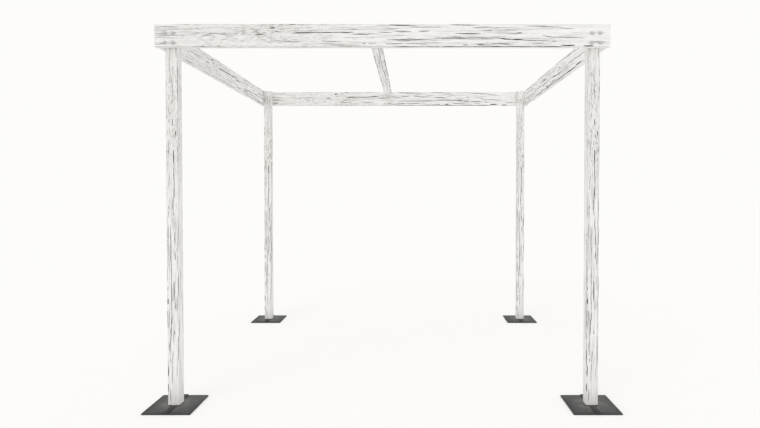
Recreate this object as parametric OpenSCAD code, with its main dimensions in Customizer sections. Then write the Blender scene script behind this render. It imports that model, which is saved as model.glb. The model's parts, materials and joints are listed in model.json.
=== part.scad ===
// Open timber cabana frame. Four posts stand on steel feet, a ring of boards on edge is
// screwed round their tops, and one flat rafter is let into the front and back boards.
// Millimetres. +X is right and +Z is up, and the front faces -Y. The origin is on the floor
// at the middle of the plan.

/* [Frame] */
// Width over the outer faces of the posts
frame_w = 2900; // [1800:10:3600]
// Depth over the outer faces of the posts
frame_d = 2900; // [1800:10:3600]
// Height of the tops of the posts and boards above the floor
frame_h = 2560; // [2000:10:3000]

/* [Timber] */
// Side of the square posts
post_s = 80; // [70:1:120]
// Height of the boards, which stand on edge
board_h = 150; // [120:1:220]
// Thickness of the boards
board_t = 45; // [35:1:60]
// How far the front and back boards run past the side boards
board_end = 10; // [0:1:80]
// Gap where a side board butts against the front or back board
butt_gap = 0.5; // [0:0.1:2]
// Corner planed off along the edges of the timber
arris = 3; // [1:0.5:6]

/* [Rafter] */
// Width of the rafter, which lies flat
rafter_w = 85; // [60:1:140]
// Thickness of the rafter
rafter_t = 22; // [15:1:40]
// Middle of the rafter, measured from the middle of the frame
rafter_x = -70; // [-600:5:600]
// Depth of the stopped housings that hold the rafter's ends
housing_d = 20; // [10:1:25]
// Gap round the rafter's ends in their housings
housing_gap = 0.5; // [0.2:0.1:2]

/* [Feet] */
// Width of a base plate
plate_w = 320; // [200:5:400]
// Depth of a base plate
plate_d = 380; // [200:5:400]
// Thickness of a base plate
plate_t = 8; // [5:0.5:15]
// Corner snipped off a base plate
plate_snip = 4; // [1:0.5:20]
// Width of the bar that is welded along a base plate
bar_w = 36; // [25:1:60]
// Thickness of that bar
bar_t = 6; // [4:0.5:12]
// Diameter of the pin that stands on the bar and enters the post
pin_d = 20; // [12:1:24]
// Height of the pin above the bar
pin_h = 120; // [60:5:200]
// Clearance all round the pin in its bore
pin_gap = 0.3; // [0.1:0.1:1]
// Room above the pin in its bore
pin_room = 5; // [2:1:20]

/* [Screws] */
// Diameter of a coach screw
screw_d = 10; // [8:1:14]
// Size of the hexagon head across its flats
head_af = 17; // [14:1:24]
// Height of the hexagon head
head_h = 8; // [5:0.5:12]
// Diameter of the flange under the head
flange_d = 24; // [22:1:30]
// Thickness of the flange
flange_t = 3; // [2:0.5:5]
// Length of the pointed end
point_h = 10; // [5:1:20]
// Distance from a screw's axis to the side of the post
screw_edge = 13; // [12:1:20]
// Wood that is left between the screw's hole and the far side of the post
screw_cover = 14; // [8:1:30]
// Clearance all round the screw, and past its point
screw_gap = 0.2; // [0.1:0.1:1]
// Distance between the two rows of screws
row_step = 64; // [50:1:70]

/* [Hidden] */
$fn = 48;
// Overlap that lets a cut pass cleanly through a face
over = 1;

// Sides of the frame, as the sign of X or Y
left = -1;
right = 1;
front = -1;
back = 1;

// Middle of a post, and the level that it stands on
post_x = (frame_w - post_s) / 2;
post_y = (frame_d - post_s) / 2;
foot_z = plate_t + bar_t;

// Lengths of the boards, and the places of their middles
long_board_l = frame_w + 2 * board_t + 2 * board_end;
side_board_l = frame_d - 2 * butt_gap;
board_x = (frame_w + board_t) / 2;
board_y = (frame_d + board_t) / 2;
board_z = frame_h - board_h / 2;

// The rafter seats on the floor of its housings, with its top flush
rafter_l = frame_d + 2 * housing_d - 2 * housing_gap;
rafter_z = frame_h - rafter_t / 2;

// The rows lie a quarter step below the middle of the front and back boards, and a quarter
// step above the middle of the side boards, so that the screws pass each other
screw_l = board_t + post_s - screw_cover - screw_gap;
screw_reach = post_s / 2 - screw_edge;
cross_rows = [board_z + row_step / 4, board_z - row_step * 3 / 4];
side_rows = [for (z = cross_rows) z + row_step / 2];

// Outline of planed timber or plate, centred, with its four corners cut off
module planed(w, h, cut = arris) {
    x = w / 2;
    y = h / 2;
    polygon([
        [x, y - cut], [x - cut, y], [cut - x, y], [-x, y - cut],
        [-x, cut - y], [cut - x, -y], [x - cut, -y], [x, cut - y],
    ]);
}

// Coach screw with its seat at the origin, its head up and its point down
module screw() {
    head_r = head_af / 2 / cos(30);
    translate([0, 0, -screw_l])
        cylinder(h = point_h, r1 = screw_d / 8, r2 = screw_d / 2);
    translate([0, 0, point_h - screw_l])
        cylinder(h = screw_l - point_h, d = screw_d);
    cylinder(h = flange_t, d1 = flange_d, d2 = flange_d - flange_t);
    translate([0, 0, flange_t])
        intersection() {
            cylinder(h = head_h, r = head_r, $fn = 6);
            cylinder(h = head_h, r1 = head_r + head_h, r2 = head_af / 2);
        }
}

// Hole for a screw, from the same seat
module screw_hole() {
    translate([0, 0, -screw_l - screw_gap])
        cylinder(h = screw_l + screw_gap + over, d = screw_d + 2 * screw_gap);
}

// The four screw seats where the front or back board crosses a post
module cross_seats(sx, sy) {
    for (dx = [-screw_reach, screw_reach], z = cross_rows)
        translate([sx * post_x + dx, sy * (frame_d / 2 + board_t), z])
            rotate([-90 * sy, 0, 0])
                children();
}

// The four screw seats where a side board crosses a post
module side_seats(sx, sy) {
    for (dy = [-screw_reach, screw_reach], z = side_rows)
        translate([sx * (frame_w / 2 + board_t), sy * post_y + dy, z])
            rotate([0, 90 * sx, 0])
                children();
}

// Post with a bore for the foot's pin and blind holes for the screws of two boards
module post(sx, sy) {
    color("gainsboro")
        difference() {
            translate([sx * post_x, sy * post_y, foot_z])
                linear_extrude(frame_h - foot_z)
                    planed(post_s, post_s);
            translate([sx * post_x, sy * post_y, foot_z - over])
                cylinder(h = over + pin_h + pin_room, d = pin_d + 2 * pin_gap);
            cross_seats(sx, sy)
                screw_hole();
            side_seats(sx, sy)
                screw_hole();
        }
}

// Front or back board, with its screw holes and a stopped housing for the rafter
module long_board(sy) {
    color("whitesmoke")
        difference() {
            translate([-long_board_l / 2, sy * board_y, board_z])
                rotate([90, 0, 90])
                    linear_extrude(long_board_l)
                        planed(board_t, board_h);
            for (sx = [left, right])
                cross_seats(sx, sy)
                    screw_hole();
            rafter_housings();
        }
}

// Board along one side, butted between the front and back boards
module side_board(sx) {
    color("whitesmoke")
        difference() {
            translate([sx * board_x, side_board_l / 2, board_z])
                rotate([90, 0, 0])
                    linear_extrude(side_board_l)
                        planed(board_t, board_h);
            for (sy = [front, back])
                side_seats(sx, sy)
                    screw_hole();
        }
}

// Space that the rafter's ends take from both boards, open at the top
module rafter_housings() {
    reach = frame_d + 2 * housing_d;
    translate([rafter_x, 0, frame_h - rafter_t / 2 + over / 2])
        cube([rafter_w + 2 * housing_gap, reach, rafter_t + over], center = true);
}

// Flat rafter, with its ends in the housings
module rafter() {
    color("whitesmoke")
        translate([rafter_x, rafter_l / 2, rafter_z])
            rotate([90, 0, 0])
                linear_extrude(rafter_l)
                    planed(rafter_w, rafter_t);
}

// Steel plate that a foot rests on the floor with
module plate(sx, sy) {
    color("dimgray")
        translate([sx * post_x, sy * post_y, 0])
            linear_extrude(plate_t)
                planed(plate_w, plate_d, plate_snip);
}

// Bar along the plate that lifts the post clear of it, with the pin that holds the post
module foot(sx, sy) {
    color("darkslategray")
        translate([sx * post_x, sy * post_y, plate_t]) {
            translate([-bar_w / 2, -plate_d / 2, 0])
                cube([bar_w, plate_d, bar_t]);
            cylinder(h = bar_t + pin_h - arris, d = pin_d);
            translate([0, 0, bar_t + pin_h - arris])
                cylinder(h = arris, d1 = pin_d, d2 = pin_d - 2 * arris);
        }
}

module cross_screws(sx, sy) {
    color("dimgray")
        cross_seats(sx, sy)
            screw();
}

module side_screws(sx, sy) {
    color("dimgray")
        side_seats(sx, sy)
            screw();
}

post(left, front);  // front_left_post
post(right, front);  // front_right_post
post(left, back);  // back_left_post
post(right, back);  // back_right_post
long_board(front);  // front_board
long_board(back);  // back_board
side_board(left);  // left_board
side_board(right);  // right_board
rafter();
plate(left, front);  // front_left_plate
plate(right, front);  // front_right_plate
plate(left, back);  // back_left_plate
plate(right, back);  // back_right_plate
foot(left, front);  // front_left_foot
foot(right, front);  // front_right_foot
foot(left, back);  // back_left_foot
foot(right, back);  // back_right_foot
cross_screws(left, front);  // front_board_left_screws
cross_screws(right, front);  // front_board_right_screws
cross_screws(left, back);  // back_board_left_screws
cross_screws(right, back);  // back_board_right_screws
side_screws(left, front);  // left_board_front_screws
side_screws(left, back);  // left_board_back_screws
side_screws(right, front);  // right_board_front_screws
side_screws(right, back);  // right_board_back_screws
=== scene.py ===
"""Open timber cabana frame: limewashed boards and posts on dark steel feet.

The frame's own solids give every size and place. Each timber is modelled again with planed
edges, sawn ends and drying checks, the cracks that open along the grain as wood dries. The
steel gets its welds, rounded edges and finish. Lengths are in metres, unless a comment gives
another unit.
"""
import json
import math
import random
from collections import Counter

import bpy
from mathutils import Matrix, Vector

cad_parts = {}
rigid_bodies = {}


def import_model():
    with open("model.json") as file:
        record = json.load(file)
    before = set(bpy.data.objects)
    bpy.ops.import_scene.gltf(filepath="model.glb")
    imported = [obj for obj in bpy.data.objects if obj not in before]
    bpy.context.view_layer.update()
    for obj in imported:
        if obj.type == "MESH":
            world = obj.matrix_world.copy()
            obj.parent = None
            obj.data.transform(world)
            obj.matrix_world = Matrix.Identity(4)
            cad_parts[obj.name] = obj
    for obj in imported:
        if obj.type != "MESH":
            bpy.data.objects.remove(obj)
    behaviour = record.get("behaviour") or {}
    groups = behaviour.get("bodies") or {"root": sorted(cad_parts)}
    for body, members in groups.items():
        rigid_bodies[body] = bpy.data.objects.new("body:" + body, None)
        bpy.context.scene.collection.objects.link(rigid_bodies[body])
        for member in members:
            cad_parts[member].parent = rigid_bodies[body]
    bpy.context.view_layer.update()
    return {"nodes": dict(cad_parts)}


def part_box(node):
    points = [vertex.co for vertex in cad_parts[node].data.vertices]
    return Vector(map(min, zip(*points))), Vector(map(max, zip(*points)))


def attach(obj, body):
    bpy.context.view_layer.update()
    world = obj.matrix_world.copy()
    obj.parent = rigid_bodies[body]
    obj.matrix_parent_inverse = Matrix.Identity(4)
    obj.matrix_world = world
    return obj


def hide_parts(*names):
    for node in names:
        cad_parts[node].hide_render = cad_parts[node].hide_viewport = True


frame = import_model()

BODY = "root"
X, Y, Z = Vector((1, 0, 0)), Vector((0, 1, 0)), Vector((0, 0, 1))
AXES = (X, Y, Z)

# The photograph's frame, focal length and axis in pixels, the sensor's width in millimetres,
# and where the camera stood
FRAME_W, FRAME_H = 760, 428
FOCAL_PX = 632
AXIS_PX = (411.3, 201.1)
SENSOR_MM = 36
CAMERA_AT = (0.191, -5.685, 1.475)
CAMERA_DIP = math.radians(1.14)

# Timber: its rounded edges and ends, the slices along it and strips across it that let it
# wave, how far it waves, and the housings that hold the rafter
ARRIS = 0.003
END_ROUND = 0.0015
SLICE = 0.012
STRIP = 0.018
WOBBLE = 0.0006
HOUSING_GAP = 0.0005
HOUSING_OPEN = 0.02

# Drying checks in the timber. The blade that cuts one reaches CHECK_DEPTH deeper than it is
# wide, has hollow flanks and takes a ring for about each BLADE_STEP of its length. The last
# three say how far its edges fray, and how far it sways and steps aside
CHECK_DEPTH = 0.004
BLADE_HOLLOW = 0.5
BLADE_STEP = 0.006
BLADE_RINGS = (12, 24, 44)
CHECK_RAGGED = 0.0016
CHECK_SWAY = 0.008
CHECK_STEPS = 0.0035

# Checks strewn over the faces that the photograph doesn't show, with their number on a face
# as broad as the front board, and the widest of them, for boards and for slimmer timbers
LANE_MARGIN = 0.010
STREWN_FEWEST = 3
STREWN_LENGTH = (0.07, 0.38)
STREWN_SLANT = 0.003
STREWN_FINEST = 0.0015
BOARD_STREWN = {"density": 10, "widest": 0.0045}
SLIM_STREWN = {"density": 9, "widest": 0.0035}

# Growth rings: their spacing, and how far their middle and the rings themselves stray
RING_STEP = 0.0068
PITH_WANDER = 0.05
PITH_SWAY = 0.014
RING_SWAY = 5.0

# Limewash: where it starts to wear off near an edge and is worn most, from the corner, the depths in a
# check over which its lips turn dark and its dust and painted shade take over, and how deep the grain is
EDGE_WEAR = (0.006, 0.001)
LIP_DEPTH = (0.0004, 0.0012)
DUST_AND_SHADE_DEPTH = (0.0012, 0.0035)
GRAIN_RELIEF = 0.0010

# Stain round the screws, as far as it reaches along the grain and across it
STAIN_ALONG = 0.045
STAIN_ACROSS = 0.009

# Coating on the steel: the dark strip along its rim, the reach of the painted sheen near its middle, a
# half size so great that no rim shows, and how deep its grain is
RIM = (0.045, 0.002)
SHEEN_X = 0.14
SHEEN_Y = 0.17
NO_RIM = Vector((1, 1, 1))
STEEL_RELIEF = 0.0002

# Steel shapes. A weld's beads overlap: each reaches BEAD_REACH steps to both sides, and their
# middles lie WELD_RAISED of their radius above the plate
FLANGE_R = 0.012
STEEL_ROUND = 0.0008
SNIP = 0.004
PIN_R = 0.010
PIN_POINT = 0.003
WELD_R = 0.0032
WELD_RAISED = 0.3
WELD_LENGTH = 0.045
WELD_STEP = 0.0042
BEAD_REACH = 0.85
WELD_PLACES = (-0.150, -0.022, 0.105)

# Light, and the share of it that the floor sends back
SKY_LIGHT = 0.93
KEY_LIGHT = 0.33
KEY_WAY = Vector((0.35, 0.75, -0.6))
KEY_SPREAD = math.radians(35)
FLOOR_TONE = 0.92
FLOOR_SIZE = 120


# Camera

def make_camera():
    """Camera of the photograph, at about eye height and a little right of the middle."""
    data = bpy.data.cameras.new("camera")
    data.sensor_width = SENSOR_MM
    data.lens = FOCAL_PX / FRAME_W * SENSOR_MM
    data.shift_x = (FRAME_W / 2 - AXIS_PX[0]) / FRAME_W
    data.shift_y = (AXIS_PX[1] - FRAME_H / 2) / FRAME_W
    camera = bpy.data.objects.new("camera", data)
    camera.location = CAMERA_AT
    camera.rotation_euler = (math.pi / 2 - CAMERA_DIP, 0, 0)
    bpy.context.scene.collection.objects.link(camera)
    bpy.context.scene.camera = camera


# Shader maths

class Num:
    """A number in a finish. Arithmetic on it adds Math nodes."""

    def __init__(self, finish, socket):
        self.finish = finish
        self.socket = socket

    def math(self, operation, *values):
        made = self.finish.node("ShaderNodeMath", {"operation": operation})
        for socket, value in zip(made.inputs, values):
            self.finish.feed(socket, value)
        return Num(self.finish, made.outputs[0])

    def __add__(self, other):
        return self.math("ADD", self, other)

    def __radd__(self, other):
        return self.math("ADD", other, self)

    def __sub__(self, other):
        return self.math("SUBTRACT", self, other)

    def __rsub__(self, other):
        return self.math("SUBTRACT", other, self)

    def __mul__(self, other):
        return self.math("MULTIPLY", self, other)

    def __truediv__(self, other):
        return self.math("DIVIDE", self, other)

    def __pow__(self, other):
        return self.math("POWER", self, other)

    def __abs__(self):
        return self.math("ABSOLUTE", self)

    def sine(self):
        return self.math("SINE", self)

    def root(self):
        return self.math("SQRT", self)

    def most(self, other):
        return self.math("MAXIMUM", self, other)

    def least(self, other):
        return self.math("MINIMUM", self, other)

    def rise(self, start, end):
        """0 at start and below, 1 at end and above, and smooth between. start may be past end."""
        made = self.finish.node(
            "ShaderNodeMapRange",
            {"interpolation_type": "SMOOTHSTEP"},
            {"Value": self, "From Min": start, "From Max": end},
        )
        return Num(self.finish, made.outputs["Result"])


class Finish:
    """The nodes of a material or of the world."""

    def __init__(self, owner):
        owner.use_nodes = True
        self.owner = owner
        self.tree = owner.node_tree
        self.shader = self.tree.nodes.get("Principled BSDF")

    def node(self, kind, settings=None, sockets=None):
        """Adds a node, with its settings first and then its sockets' values or links."""
        made = self.tree.nodes.new(kind)
        for key, value in (settings or {}).items():
            setattr(made, key, value)
        for key, value in (sockets or {}).items():
            self.feed(made.inputs[key], value)
        return made

    def feed(self, socket, value):
        if isinstance(value, Num):
            self.tree.links.new(value.socket, socket)
        elif isinstance(value, bpy.types.NodeSocket):
            self.tree.links.new(value, socket)
        else:
            socket.default_value = value

    def set(self, **sockets):
        """Feeds the Principled shader, with underscores for the spaces in the sockets' names."""
        for key, value in sockets.items():
            self.feed(self.shader.inputs[key.replace("_", " ")], value)

    def place(self):
        """The point on the object, in metres in the row frame."""
        return self.node("ShaderNodeTexCoord").outputs["Object"]

    def facing(self):
        """The surface's direction, as three numbers."""
        return self.split(self.node("ShaderNodeTexCoord").outputs["Normal"])

    def split(self, vector):
        made = self.node("ShaderNodeSeparateXYZ", sockets={"Vector": vector})
        return [Num(self, made.outputs[axis]) for axis in "XYZ"]

    def join(self, x, y, z):
        made = self.node("ShaderNodeCombineXYZ", sockets={"X": x, "Y": y, "Z": z})
        return made.outputs["Vector"]

    def noise(self, vector, scale, detail=2.0, roughness=0.5):
        """Noise of about scale patches for each metre of vector."""
        made = self.node("ShaderNodeTexNoise", sockets={
            "Vector": vector, "Scale": scale, "Detail": detail, "Roughness": roughness,
        })
        return Num(self, made.outputs["Fac"])

    def mix(self, amount, first, second):
        """Colour between first and second."""
        made = self.node("ShaderNodeMix", {"data_type": "RGBA"})
        factor, first_colour, second_colour = made.inputs[0], made.inputs[6], made.inputs[7]
        self.feed(factor, amount)
        self.feed(first_colour, first)
        self.feed(second_colour, second)
        return made.outputs[2]

    def ramp(self, amount, stops):
        """Colour from a list of places and colours."""
        made = self.node("ShaderNodeValToRGB", sockets={"Fac": amount})
        ends = made.color_ramp.elements
        for element, (at, colour) in zip(ends, (stops[0], stops[-1])):
            element.position = at
            element.color = colour
        for at, colour in stops[1:-1]:
            ends.new(at).color = colour
        return made.outputs["Color"]

    def bump(self, height, depth):
        """Normal for a height of 0 to 1 that stands for depth in metres."""
        made = self.node("ShaderNodeBump", sockets={
            "Strength": 1.0, "Distance": depth, "Height": height,
        })
        return made.outputs["Normal"]


def rgb(red, green, blue):
    """Colour as written on a screen, from 0 to 255, as a shader's linear one, by sRGB's curve."""
    def linear(level):
        level = level / 255
        return level / 12.92 if level <= 0.04045 else ((level + 0.055) / 1.055) ** 2.4
    return (linear(red), linear(green), linear(blue), 1.0)


# Timbers and how they lie

board_low, board_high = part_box("front_board")
BOARD_L = board_high.x - board_low.x
BOARD_H = board_high.z - board_low.z


class Timber:
    """One timber, its grain and its seen face, with axes given as 0, 1 and 2.
    """

    def __init__(self, node, grain, face, out, top, run, part=(0.0, 1.0), bold=1.0, pith=(0.03, 0.09)):
        self.node = node
        self.low, self.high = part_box(node)
        self.centre = (self.low + self.high) / 2
        self.half = (self.high - self.low) / 2
        self.grain = grain
        self.face = face
        self.out = out
        self.top = top
        self.run = run
        self.part = part
        self.bold = bold
        self.pith = pith
        self.sides = [axis for axis in range(3) if axis != grain]

    def level(self, face, out):
        """Where a face lies on its own axis."""
        return self.centre[face] + out * self.half[face]

    def across(self, face):
        """The axis that runs across the grain on a face."""
        return 3 - self.grain - face

    def scale(self):
        """Metres along this timber for the whole length of the checks."""
        return (self.run[1] - self.run[0]) / (self.part[1] - self.part[0])


# Colours

WASH = rgb(250, 249, 247)
WASH_WORN = rgb(238, 236, 233)
WASH_THIN = rgb(216, 212, 209)
GREY_WOOD = rgb(184, 178, 175)
DARK_WOOD = rgb(138, 131, 128)
BLACK_WOOD = rgb(92, 86, 84)
# Near black of a check's depth: its dust, and painted shade
CHECK_DUST_AND_SHADE = rgb(44, 41, 39)
PAPER = rgb(253, 252, 250)

# The timber's colour by how far its wash is worn, from a full coat to bare old wood
WORN_TONES = [
    (0.0, WASH), (0.20, WASH_WORN), (0.43, WASH_THIN),
    (0.66, GREY_WOOD), (0.86, DARK_WOOD), (1.0, BLACK_WOOD),
]

# The steel's coating where it is darkest, as it is, and where its painted sheen and scratches make it
# lightest
PLATE_GREYS = (rgb(46, 46, 46), rgb(74, 74, 74), rgb(136, 134, 132))
BAR_GREYS = (rgb(38, 38, 38), rgb(50, 50, 50), rgb(78, 77, 76))

# The screws' zinc, its spangles and the haze of wash on it
ZINC = rgb(178, 176, 174)
ZINC_SPANGLE = rgb(200, 198, 196)
ZINC_HAZE = rgb(228, 225, 222)


# Finishes

class Wood:
    """A point in a timber as its finish sees it, along the grain and across it.

    u and v lie across the grain from the timber's middle, and its faces at half_u and half_v.
    """

    def __init__(self, finish, timber):
        self.finish = finish
        self.timber = timber
        self.place = finish.split(finish.place())
        self.along = self.place[timber.grain]
        self.side_u, self.side_v = [self.place[axis] for axis in timber.sides]
        self.u = self.side_u - timber.centre[timber.sides[0]]
        self.v = self.side_v - timber.centre[timber.sides[1]]
        self.half_u, self.half_v = [timber.half[axis] for axis in timber.sides]

    def streaks(self, length, width, detail=2.0, roughness=0.55):
        """Noise whose patches are about length along the grain and width across it."""
        stretched = self.finish.join(self.along / length, self.side_u / width, self.side_v / width)
        return self.finish.noise(stretched, 1.0, detail, roughness)

    def share(self):
        """0 at the left end of the seen checks and 1 at their right end."""
        start = self.timber.run[0]
        return (self.along - start) * (1 / self.timber.scale()) + self.timber.part[0]

    def late_rings(self):
        """The dark late part of each growth ring, round a pith that wanders along the timber."""
        sway = self.streaks(0.35, 0.06, detail=1.0) - 0.5
        wander = self.streaks(1.2, 0.8, detail=1.0) - 0.5
        du = self.u - self.timber.pith[0] + wander * PITH_WANDER
        dv = self.v - self.timber.pith[1] + sway * PITH_SWAY
        radius = (du * du + dv * dv).root()
        ring = (radius * (2 * math.pi / RING_STEP) + sway * RING_SWAY).sine() * 0.5 + 0.5
        return ring.rise(0.60, 0.98)

    def corners(self):
        """1 on the four long edges and 0 a little way from them."""
        start, end = EDGE_WEAR
        edge_u = abs(self.u).rise(self.half_u - start, self.half_u - end)
        edge_v = abs(self.v).rise(self.half_v - start, self.half_v - end)
        return edge_u * edge_v

    def depth(self):
        """How far below the nearest face a point in a check lies."""
        grain = self.timber.grain
        reach = self.timber.half[grain] - abs(self.along - self.timber.centre[grain])
        return (self.half_u - abs(self.u)).least(self.half_v - abs(self.v)).least(reach)


def limewash(timber, screws=None):
    """Weathered softwood under worn white limewash."""
    finish = Finish(bpy.data.materials.new(timber.node + "_limewash"))
    wood = Wood(finish, timber)
    late = wood.late_rings()

    # the wood is greyer over the left half of the seen checks, and paler near their right end; on a post
    # that end is its foot, where the paler wash is also painted light against the shade of the dark
    # plate
    share = wood.share()
    grey = share.rise(0.01, 0.12) * share.rise(0.48, 0.30)
    pale = share.rise(0.78, 0.97)

    # marks of wear, each from 0 to 1, with edges that follow the fibres
    fibre = wood.streaks(0.045, 0.0011, detail=3.0, roughness=0.65)
    shred = (fibre - 0.5) * 0.12
    broad = wood.streaks(0.70, 0.050).rise(0.35, 0.65)
    middle = (wood.streaks(0.22, 0.0125, detail=3.0) + shred).rise(0.46, 0.64)
    fine = (wood.streaks(0.10, 0.0070, detail=3.0, roughness=0.6) + shred).rise(0.48, 0.66)
    line = (wood.streaks(0.20, 0.0075) + shred).rise(0.59, 0.67)
    hair = wood.streaks(0.10, 0.0030, detail=3.0, roughness=0.6).rise(0.58, 0.72)
    thread = (wood.streaks(0.16, 0.0042) + shred).rise(0.55, 0.66)
    patch = wood.streaks(0.30, 0.06, detail=1.0).rise(0.35, 0.60) + grey
    speck = (wood.streaks(0.030, 0.0075, detail=4.0, roughness=0.7) + shred).rise(0.46, 0.64)
    speck = speck * (grey * 0.7 + 0.3) * patch
    edge = wood.corners() * (wood.streaks(0.40, 0.08, detail=3.0) + shred).rise(0.46, 0.60)

    # how far the wash is worn in all, with each mark's factor for how far it thins the wash,
    # and only fine threads of wood where the wash is pale
    strong = (middle * 0.24 + fine * 0.18 + line * 0.44) * (1 - grey * 0.68) * (1 - pale * 0.2)
    worn = (0.035 + broad * 0.05 + strong + grey * 0.07 + hair * 0.13
            + speck * 0.22 + edge * 0.45 + late * (middle * 0.10 + 0.05) + (fibre - 0.5) * 0.22)
    # painted light: near the right end the wear is halved, which lifts the posts' feet against the shade
    # of the plates
    worn = worn * (1 - pale * 0.50) + pale * thread * 0.26
    if screws is not None:
        worn = worn + screw_stain(wood, screws) * 0.35
    wash = finish.ramp(worn, WORN_TONES)

    # the sawn ends soak up the wash and show the rings
    end = abs(finish.facing()[timber.grain]).rise(0.6, 0.8)
    end_tone = finish.mix((late * 0.55 + fibre * 0.2).least(1.0), WASH_THIN, GREY_WOOD)
    wash = finish.mix(end, wash, end_tone)

    # the wash is gone from the lips of a check and never reached its depth, which turns near black with
    # its dust and painted shade
    depth = wood.depth()
    lip = finish.mix(depth.rise(*LIP_DEPTH), wash, DARK_WOOD)
    colour = finish.mix(depth.rise(*DUST_AND_SHADE_DEPTH), lip, CHECK_DUST_AND_SHADE)

    # the fibres stand out, and each mark lies lower by its own share of the relief
    height = fibre * 0.45 - hair * 0.3 - line * 0.3 - late * 0.12 - fine * 0.15 - speck * 0.2
    finish.set(
        Base_Color=colour,
        Roughness=(0.74 + worn * 0.16).least(0.94),
        Normal=finish.bump(height, GRAIN_RELIEF),
        Specular_IOR_Level=0.25,
    )
    return finish.owner


def screw_places(node, along, rise):
    """The axes along a board and up it, and where its screws sit on both, from one set of them.

    Along the board they lie at reach to both sides of middle, at each of its ends, and up it
    at half_step to both sides of level.
    """
    low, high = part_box(node)
    centre, half = (low + high) / 2, (high - low) / 2
    middle, level = abs(centre[along]), centre[rise]
    reach, half_step = half[along] - FLANGE_R, half[rise] - FLANGE_R
    return along, rise, middle, reach, level, half_step


def screw_stain(wood, screws):
    """Grey stain that runs along the grain from the screws on a board."""
    along, rise, middle, reach, level, half_step = screws
    beside = abs(abs(abs(wood.place[along]) - middle) - reach)
    above = abs(abs(wood.place[rise] - level) - half_step)
    spread = ((beside / STAIN_ALONG) ** 2 + (above / STAIN_ACROSS) ** 2).rise(1.0, 0.1)
    cloud = wood.finish.noise(wood.finish.place(), 90, detail=3.0, roughness=0.7)
    return spread * cloud.rise(0.35, 0.60)


def coated_steel(name, greys, centre, half):
    """Matt grey coating on steel, darker round the rim, with a painted sheen near the middle and light
    scratches.
    """
    dark, plain, sheen_and_scratch_grey = greys
    finish = Finish(bpy.data.materials.new(name))
    place = finish.place()
    x, y, z = finish.split(place)
    cloud = finish.noise(place, 16, detail=4.0, roughness=0.6)
    grit = finish.noise(place, 500, detail=3.0, roughness=0.7)
    scratch = finish.noise(finish.join(x * 30, y * 700, z * 700), 1.0).rise(0.68, 0.74)
    off_x = x - centre.x
    off_y = y - centre.y
    rim = (half.x - abs(off_x)).least(half.y - abs(off_y)).rise(*RIM)
    # painted sheen: the coating turns lighter towards the middle of the steel, as if it shone there
    reach = ((off_x / SHEEN_X) ** 2 + (off_y / SHEEN_Y) ** 2).root().rise(1.0, 0.4)
    tone = finish.mix(rim * (cloud * 0.6 + grit * 0.6), plain, dark)
    sheen_and_scratch = reach * (grit * 0.5 + cloud * 0.5).rise(0.40, 0.60) * 0.65 + scratch * 0.25
    tone = finish.mix((sheen_and_scratch + cloud.rise(0.6, 0.8) * 0.25).least(1.0), tone, sheen_and_scratch_grey)
    finish.set(
        Base_Color=tone,
        Roughness=0.50 + cloud * 0.18 + grit * 0.08,
        Normal=finish.bump(grit * 0.5 + cloud * 0.5, STEEL_RELIEF),
        Specular_IOR_Level=0.25,
    )
    return finish.owner


def washed_zinc(name):
    """Dull zinc on the screw heads, with a thin haze of limewash left on it."""
    finish = Finish(bpy.data.materials.new(name))
    place = finish.place()
    spangle = finish.noise(place, 500, detail=3.0, roughness=0.6).rise(0.35, 0.7)
    wash = finish.noise(place, 160, detail=4.0, roughness=0.65).rise(0.42, 0.66)
    tone = finish.mix(spangle, ZINC, ZINC_SPANGLE)
    finish.set(
        Base_Color=finish.mix(wash * 0.6, tone, ZINC_HAZE),
        Metallic=0.2 - wash * 0.2,
        Roughness=0.45 + spangle * 0.15 + wash * 0.25,
        Normal=finish.bump(spangle, STEEL_RELIEF),
    )
    return finish.owner


def use(piece, material):
    """Gives a piece its one material."""
    piece.data.materials.clear()
    piece.data.materials.append(material)


# Modelling by hand

SMOOTH_BELOW = math.radians(34)
PARALLEL = 0.999
LEVEL_SLACK = 1e-5


def clear():
    """Leaves nothing selected."""
    bpy.ops.object.select_all(action="DESELECT")


def only(piece):
    """Leaves one piece selected and active."""
    clear()
    piece.select_set(True)
    bpy.context.view_layer.objects.active = piece


def bake_place(piece):
    """Moves a piece's place, turn and scale into its points."""
    only(piece)
    bpy.ops.object.transform_apply(location=True, rotation=True, scale=True)


def block(name, low, high):
    """Box between two corners, ready to be shaped."""
    clear()
    bpy.ops.mesh.primitive_cube_add(size=1, location=(low + high) / 2, scale=high - low)
    piece = bpy.context.object
    piece.name = name
    bake_place(piece)
    return piece


def pick(piece, kind, rule):
    """Goes to edit mode with the parts of that kind selected for which rule holds."""
    only(piece)
    bpy.ops.object.mode_set(mode="EDIT")
    bpy.ops.mesh.select_mode(type=kind)
    bpy.ops.mesh.select_all(action="DESELECT")
    bpy.ops.object.mode_set(mode="OBJECT")
    mesh = piece.data
    parts = {"EDGE": mesh.edges, "FACE": mesh.polygons}[kind]
    for part in parts:
        part.select = rule(part)
    bpy.ops.object.mode_set(mode="EDIT")


def done():
    """Goes back from edit mode."""
    bpy.ops.object.mode_set(mode="OBJECT")


def ease(piece, rule, offset, segments=1):
    """Rounds or chamfers the edges for which rule holds."""
    pick(piece, "EDGE", rule)
    bpy.ops.mesh.bevel(offset=offset, segments=segments, profile=0.5, affect="EDGES")
    done()


def runs(piece, axis):
    """Rule for edges that run along an axis."""
    points = piece.data.vertices

    def rule(edge):
        start, end = [points[i].co for i in edge.vertices]
        return abs((end - start).normalized().dot(axis)) > PARALLEL
    return rule


def at_level(piece, axis, level):
    """Rule for edges that lie at one level on an axis."""
    points = piece.data.vertices

    def rule(edge):
        return all(abs(points[i].co.dot(axis) - level) < LEVEL_SLACK for i in edge.vertices)
    return rule


def every(part):
    """Rule for all edges."""
    return True


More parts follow.
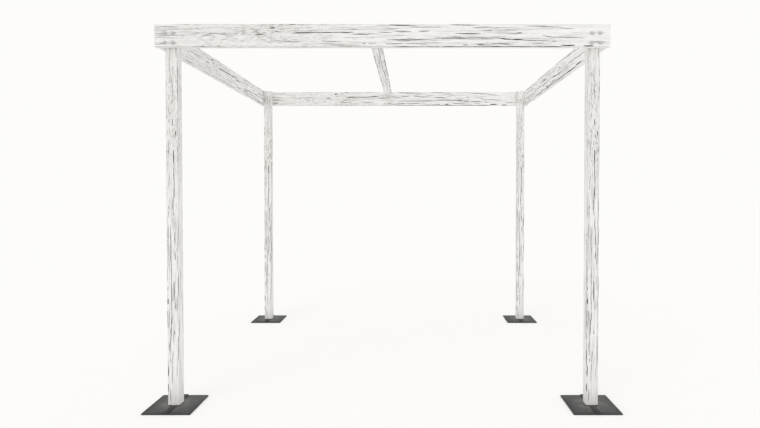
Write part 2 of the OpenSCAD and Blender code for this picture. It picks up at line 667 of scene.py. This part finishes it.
def apply(piece, kind, **settings):
    """Adds a modifier and applies it."""
    modifier = piece.modifiers.new("shape", kind)
    for key, value in settings.items():
        setattr(modifier, key, value)
    only(piece)
    bpy.ops.object.modifier_apply(modifier=modifier.name)


def wave(piece, texture, strength, direction):
    """Moves a piece's points by a texture, along one axis or their normals."""
    apply(piece, "DISPLACE", texture=texture, strength=strength, direction=direction,
          mid_level=0.5, texture_coords="LOCAL")


def clouds(name, scale):
    """Soft texture whose lumps are about scale in size."""
    texture = bpy.data.textures.new(name, "CLOUDS")
    texture.noise_scale = scale
    return texture


def join(pieces, name):
    """Joins pieces into one."""
    clear()
    for piece in pieces:
        piece.select_set(True)
    bpy.context.view_layer.objects.active = pieces[0]
    if len(pieces) > 1:
        bpy.ops.object.join()
    joined = bpy.context.object
    joined.name = name
    return joined


def drop(piece):
    bpy.data.objects.remove(piece)


def finish_piece(piece, node, material):
    """Smooths a piece, gives it its finish and puts it in its node's place."""
    only(piece)
    bpy.ops.object.shade_smooth_by_angle(angle=SMOOTH_BELOW)
    use(piece, material)
    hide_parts(node)
    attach(piece, BODY)


# Timber

slow_clouds = clouds("slow_waves", 0.22)
quick_clouds = clouds("quick_waves", 0.035)
check_clouds = clouds("check_sway", 0.10)
step_clouds = clouds("check_steps", 0.014)
edge_clouds = clouds("check_edges", 0.005)

# Checks seen on the front board, and a painted shade line along its lower edge: start and end from its
# left end in metres, the drop from its top edge at both in millimetres, and the width in millimetres.
# Only neighbours in the list overlap, so one cut takes every other check
SEEN_CHECKS_AND_SHADE = [
    (0.00, 0.17, 19, 18, 3.5), (0.00, 0.10, 60, 60, 3.0), (0.00, 0.10, 85, 84, 3.0),
    (0.00, 0.08, 132, 127, 4.5), (0.22, 0.31, 60, 60, 3.0), (0.31, 0.37, 73, 74, 3.5),
    (0.35, 0.55, 61, 68, 3.5), (0.66, 0.72, 68, 68, 6.0), (0.76, 0.80, 25, 24, 8.5),
    (0.79, 0.82, 47, 47, 5.0), (0.89, 0.94, 5, 5, 4.5), (0.91, 1.04, 60, 57, 8.0),
    (0.99, 1.26, 56, 54, 6.0), (1.20, 1.32, 54, 54, 7.5), (1.30, 1.42, 67, 69, 6.5),
    (1.39, 1.46, 69, 62, 4.0), (0.83, 0.97, 115, 116, 3.5), (1.10, 1.25, 110, 120, 3.5),
    (1.37, 1.40, 126, 126, 5.0), (1.41, 1.47, 126, 126, 4.0), (1.47, 1.58, 54, 58, 4.0),
    (1.58, 1.70, 48, 48, 5.0), (1.74, 1.82, 47, 47, 5.5), (1.54, 1.75, 5, 14, 4.5),
    (1.70, 1.90, 20, 22, 4.0), (1.94, 2.13, 7, 7, 4.5), (2.10, 2.23, 21, 19, 4.0),
    (2.15, 2.24, 45, 43, 4.0), (1.98, 2.16, 62, 62, 6.0), (1.53, 1.87, 102, 98, 5.5),
    (1.83, 2.03, 98, 91, 4.5), (1.98, 2.27, 93, 93, 5.0), (1.52, 1.65, 130, 128, 4.5),
    (1.63, 1.90, 128, 123, 4.0), (2.03, 2.07, 138, 138, 5.0), (2.13, 2.18, 137, 137, 7.5),
    (2.24, 2.32, 91, 95, 5.5), (2.29, 2.36, 97, 100, 7.5), (2.35, 2.44, 102, 103, 8.0),
    (2.42, 2.61, 105, 110, 4.5), (2.22, 2.38, 127, 135, 4.5), (2.39, 2.43, 57, 57, 5.0),
    (2.43, 2.69, 12, 21, 4.5), (2.66, 2.78, 27, 34, 3.5), (2.56, 2.65, 75, 91, 4.5),
    (2.63, 2.84, 86, 90, 4.5), (2.62, 2.66, 113, 113, 4.5), (2.49, 2.57, 125, 126, 4.0),
    # Rows that drop 140 mm or more lie on the lower edge: their dark hollows are painted shade, the
    # shade line under the board
    (2.68, 2.78, 140, 140, 8.5), (2.83, 2.90, 144, 144, 8.0), (2.87, 2.99, 119, 118, 4.5),
    (1.53, 1.82, 149, 149, 4.5), (1.77, 2.08, 149, 149, 5.5), (2.03, 2.34, 149, 149, 6.0),
    (2.29, 2.52, 149, 149, 7.0), (2.48, 2.70, 149, 149, 8.0),
]


def seen_checks_and_shade(timber):
    """The seen checks and the painted shade line, fitted to a timber: both ends' places along and across
    it, and the width.
    """
    axis = timber.across(timber.face)
    squeeze = timber.half[axis] * 2 / BOARD_H
    top = timber.level(axis, timber.top)
    rows = []
    for start, end, drop_a, drop_b, width in SEEN_CHECKS_AND_SHADE:
        along = [timber.run[0] + (at / BOARD_L - timber.part[0]) * timber.scale() for at in (start, end)]
        across = [top - timber.top * drop / 1000 * squeeze for drop in (drop_a, drop_b)]
        if timber.low[timber.grain] < sum(along) / 2 < timber.high[timber.grain]:
            rows.append((*along, *across, width / 1000 * timber.bold))
    return rows


def strewn_checks(timber, rng, face, density, widest):
    """Checks strewn over a face that the photograph doesn't show, each in a lane of its own."""
    axis = timber.across(face)
    low, high = timber.low[axis] + LANE_MARGIN, timber.high[axis] - LANE_MARGIN
    count = max(STREWN_FEWEST, round(density * timber.half[axis] * 2 / BOARD_H))
    rows = []
    for lane in rng.sample(range(count), count):
        start = rng.uniform(timber.low[timber.grain], timber.high[timber.grain])
        end = start + rng.uniform(*STREWN_LENGTH)
        at = low + (high - low) * (lane + 0.5) / count
        slant = rng.uniform(-STREWN_SLANT, STREWN_SLANT)
        rows.append((start, end, at, at + slant, rng.uniform(STREWN_FINEST, widest)))
    return rows


def check_blade(rings):
    """Long blade of unit size along Z, with four hollow flanks that meet in thin edges."""
    clear()
    bpy.ops.mesh.primitive_uv_sphere_add(segments=8, ring_count=rings, radius=1)
    blade = bpy.context.object
    for point in blade.data.vertices:
        girth = math.hypot(point.co.x, point.co.y)
        if girth > 0:
            thin = (abs(point.co.x * point.co.y) * 2 / girth ** 2) * (1 - BLADE_HOLLOW)
            point.co.x *= 1 - thin
            point.co.y *= 1 - thin
    return blade


def check_cutter(timber, face, out, rows):
    """One mesh of thin blades, half sunk in a face, that wander a little and have ragged edges."""
    blades = {rings: check_blade(rings) for rings in BLADE_RINGS}
    normal, grain, axis = AXES[face], AXES[timber.grain], AXES[timber.across(face)]
    cutters = []
    for start, end, at_start, at_end, width in rows:
        centre = grain * ((start + end) / 2) + axis * ((at_start + at_end) / 2)
        centre += normal * timber.level(face, out)
        way = grain * (end - start) + axis * (at_end - at_start)
        length = way.length
        way.normalize()
        turn = Matrix((normal.cross(way).normalized(), normal, way)).transposed().to_4x4()
        size = Matrix.Diagonal((width / 2, CHECK_DEPTH + width, length / 2, 1))
        blade = blades[min(BLADE_RINGS, key=lambda rings: abs(rings * BLADE_STEP - length))]
        cutter = blade.copy()
        cutter.data = blade.data.copy()
        cutter.matrix_world = Matrix.Translation(centre) @ turn @ size
        bpy.context.scene.collection.objects.link(cutter)
        cutters.append(cutter)
    for blade in blades.values():
        drop(blade)
    cutter = join(cutters, "checks")
    bake_place(cutter)
    wave(cutter, edge_clouds, CHECK_RAGGED, "NORMAL")
    for texture, strength in ((check_clouds, CHECK_SWAY), (step_clouds, CHECK_STEPS)):
        wave(cutter, texture, strength, "XYZ"[timber.across(face)])
    return cutter


def cut(piece, cutter):
    """Cuts a cutter's shape out of a piece and drops the cutter."""
    apply(piece, "BOOLEAN", object=cutter, operation="DIFFERENCE", solver="MANIFOLD")
    drop(cutter)


def drop_flaps(piece):
    """Deletes the pairs of faces on the same points that a cut can leave behind."""
    corners = Counter(frozenset(face.vertices) for face in piece.data.polygons)
    pick(piece, "FACE", lambda face: corners[frozenset(face.vertices)] > 1)
    bpy.ops.mesh.delete(type="FACE")
    done()


def drop_slivers(piece):
    """Deletes the loose slivers of wood that a cut can leave beside a piece."""
    broadest = max(piece.data.polygons, key=lambda face: face.area).index
    pick(piece, "FACE", lambda face: face.index == broadest)
    bpy.ops.mesh.select_linked()
    bpy.ops.mesh.select_all(action="INVERT")
    bpy.ops.mesh.delete(type="FACE")
    done()


def planed_timber(timber):
    """Timber with rounded edges, sliced along and across so that it can wave a little."""
    piece = block(timber.node + "_timber", timber.low, timber.high)
    grain = AXES[timber.grain]
    ease(piece, runs(piece, grain), ARRIS, segments=3)
    for end in (timber.low, timber.high):
        ease(piece, at_level(piece, grain, end[timber.grain]), END_ROUND, segments=2)
    only(piece)
    bpy.ops.object.mode_set(mode="EDIT")
    for side in range(3):
        size = (timber.high - timber.low)[side]
        slices = round(size / (SLICE if side == timber.grain else STRIP))
        for step in range(1, slices):
            bpy.ops.mesh.select_all(action="SELECT")
            at = timber.low + AXES[side] * (size * step / slices)
            bpy.ops.mesh.bisect(plane_co=at, plane_no=AXES[side])
    done()
    for texture in (slow_clouds, quick_clouds):
        wave(piece, texture, WOBBLE, "NORMAL")
    return piece


def make_timber(timber, seed, density, widest, screws=None, housing=False):
    """One timber in its node's place, with the seen checks and painted shade line on one face and strewn
    checks elsewhere.
    """
    rng = random.Random(seed)
    piece = planed_timber(timber)
    seen = seen_checks_and_shade(timber)
    for rows in (seen[::2], seen[1::2]):
        cut(piece, check_cutter(timber, timber.face, timber.out, rows))
    for face in timber.sides:
        for out in (-1, 1):
            if (face, out) != (timber.face, timber.out):
                rows = strewn_checks(timber, rng, face, density, widest)
                cut(piece, check_cutter(timber, face, out, rows))
    if housing:
        rafter_low, rafter_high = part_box("rafter")
        gap = Vector((HOUSING_GAP, HOUSING_GAP, 0))
        cut(piece, block("housing", rafter_low - gap, rafter_high + gap + Z * HOUSING_OPEN))
    drop_flaps(piece)
    drop_slivers(piece)
    finish_piece(piece, timber.node, limewash(timber, screws))


def make_boards():
    """Front and back boards with their housings, and the side boards between them."""
    side_low, side_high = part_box("left_board")
    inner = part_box("front_right_post")[0].x
    cross_screws = screw_places("front_board_left_screws", 0, 2)
    side_screws = screw_places("left_board_front_screws", 1, 2)
    front = Timber("front_board", grain=0, face=1, out=-1, top=1, run=(board_low.x, board_high.x))
    back = Timber("back_board", grain=0, face=1, out=-1, top=1, run=(-inner, inner),
                  bold=1.25, pith=(-0.05, 0.06))
    left = Timber("left_board", grain=1, face=0, out=1, top=1, run=(side_low.y, side_high.y),
                  part=(0.0, 0.75), bold=1.05, pith=(0.06, -0.08))
    right = Timber("right_board", grain=1, face=0, out=-1, top=1, run=(side_high.y, side_low.y),
                   part=(0.5, 1.0), bold=1.15, pith=(-0.06, 0.07))
    make_timber(front, 11, **BOARD_STREWN, screws=cross_screws, housing=True)
    make_timber(back, 12, **BOARD_STREWN, screws=cross_screws, housing=True)
    make_timber(left, 13, **BOARD_STREWN, screws=side_screws)
    make_timber(right, 14, **BOARD_STREWN, screws=side_screws)


def make_rafter():
    low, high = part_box("left_board")
    rafter = Timber("rafter", grain=1, face=2, out=-1, top=-1, run=(low.y, high.y),
                    part=(0.5, 1.0), bold=0.8, pith=(0.02, -0.06))
    make_timber(rafter, 15, **SLIM_STREWN)


def make_posts():
    """Posts, with the seen checks and painted shade line running down from the undersides of the boards.
    """
    foot_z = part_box("front_left_post")[0].z
    posts = [
        ("front_left_post", 21, 0.85, (-0.04, 0.06)),
        ("front_right_post", 22, 0.85, (0.05, 0.06)),
        ("back_left_post", 23, 0.9, (-0.04, -0.05)),
        ("back_right_post", 24, 0.9, (0.05, -0.05)),
    ]
    for node, seed, bold, pith in posts:
        timber = Timber(node, grain=2, face=1, out=-1, top=1, run=(board_low.z, foot_z),
                        part=(0.03, 1.0), bold=bold, pith=pith)
        make_timber(timber, seed, **SLIM_STREWN)


# Steel

def make_plate(node):
    """Base plate with snipped corners and its edges eased."""
    low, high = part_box(node)
    piece = block(node + "_steel", low, high)
    ease(piece, runs(piece, Z), SNIP)
    ease(piece, every, STEEL_ROUND, segments=2)
    material = coated_steel(node + "_coating", PLATE_GREYS, (low + high) / 2, (high - low) / 2)
    finish_piece(piece, node, material)


def weld_bead(start):
    """Run of overlapping beads along Y that fills a corner."""
    beads = []
    for step in range(int(WELD_LENGTH / WELD_STEP)):
        clear()
        bpy.ops.mesh.primitive_uv_sphere_add(
            segments=10, ring_count=6, radius=1,
            location=start + Y * (step * WELD_STEP),
            scale=(WELD_R, WELD_STEP * BEAD_REACH, WELD_R))
        beads.append(bpy.context.object)
    return beads


def make_foot(node, plate_node, post_node):
    """Bar along the plate with its hidden pin, and stitches of weld down both sides."""
    low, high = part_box(node)
    plate_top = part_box(plate_node)[1].z
    bar_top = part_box(post_node)[0].z
    middle = (low + high) / 2
    bar = block(node + "_bar", low, Vector((high.x, high.y, bar_top)))
    ease(bar, every, STEEL_ROUND, segments=2)
    clear()
    bpy.ops.mesh.primitive_cylinder_add(
        vertices=32, radius=PIN_R, depth=high.z - bar_top,
        location=(middle.x, middle.y, (high.z + bar_top) / 2))
    pin = bpy.context.object
    bake_place(pin)
    ease(pin, at_level(pin, Z, high.z), PIN_POINT)
    parts = [bar, pin]
    for side in (low.x, high.x):
        for at in WELD_PLACES:
            parts += weld_bead(Vector((side, middle.y + at, plate_top + WELD_R * WELD_RAISED)))
    piece = join(parts, node + "_steel")
    bake_place(piece)
    material = coated_steel(node + "_coating", BAR_GREYS, middle, NO_RIM)
    finish_piece(piece, node, material)


def make_steel():
    """Plates and feet at the four corners, and the finish of the screws."""
    for corner in ("front_left", "front_right", "back_left", "back_right"):
        make_plate(corner + "_plate")
        make_foot(corner + "_foot", corner + "_plate", corner + "_post")
    zinc = washed_zinc("screw_zinc")
    for name, node in frame["nodes"].items():
        if name.endswith("_screws"):
            use(node, zinc)


# Studio

def background_rays(finish):
    """1 for a ray that shows the background, straight or by metal or glass, and 0 for light."""
    paths = finish.node("ShaderNodeLightPath").outputs
    straight, glossy, through = [
        Num(finish, paths[kind]) for kind in ("Is Camera Ray", "Is Glossy Ray", "Is Transmission Ray")
    ]
    return straight.most(glossy).most(through)


def make_floor():
    """Floor in the colour of the paper that keeps a soft shadow."""
    clear()
    bpy.ops.mesh.primitive_plane_add(size=FLOOR_SIZE, location=(0, 0, 0))
    floor = bpy.context.object
    floor.name = "floor"
    finish = Finish(bpy.data.materials.new("floor_paper"))
    tone = (FLOOR_TONE, FLOOR_TONE, FLOOR_TONE, 1)
    lit = FLOOR_TONE * (SKY_LIGHT + KEY_LIGHT / math.pi * -KEY_WAY.normalized().z)
    lift = [level - lit for level in PAPER[:3]] + [1]
    pale = finish.node("ShaderNodeBsdfDiffuse", sockets={"Color": tone})
    glow = finish.node("ShaderNodeEmission", sockets={"Color": lift, "Strength": 1.0})
    lifted = finish.node("ShaderNodeAddShader", sockets={0: pale.outputs[0], 1: glow.outputs[0]})
    choose = finish.node("ShaderNodeMixShader", sockets={
        0: background_rays(finish), 1: pale.outputs[0], 2: lifted.outputs[0],
    })
    finish.feed(finish.tree.nodes["Material Output"].inputs["Surface"], choose.outputs[0])
    floor.data.materials.append(finish.owner)


def make_light():
    """White sky that shows as the paper, and one soft lamp from the front left."""
    world = Finish(bpy.data.worlds.new("studio"))
    bpy.context.scene.world = world.owner
    seen = background_rays(world)
    back = world.tree.nodes["Background"]
    world.feed(back.inputs["Color"], world.mix(seen, (1, 1, 1, 1), PAPER))
    world.feed(back.inputs["Strength"], seen * (1 - SKY_LIGHT) + SKY_LIGHT)

    data = bpy.data.lights.new("key", "SUN")
    data.angle = KEY_SPREAD
    data.energy = KEY_LIGHT
    lamp = bpy.data.objects.new("key", data)
    lamp.rotation_euler = KEY_WAY.to_track_quat("-Z", "Y").to_euler()
    bpy.context.scene.collection.objects.link(lamp)


make_camera()
make_boards()
make_rafter()
make_posts()
make_steel()
make_floor()
make_light()
bpy.context.scene.view_settings.view_transform = "Standard"
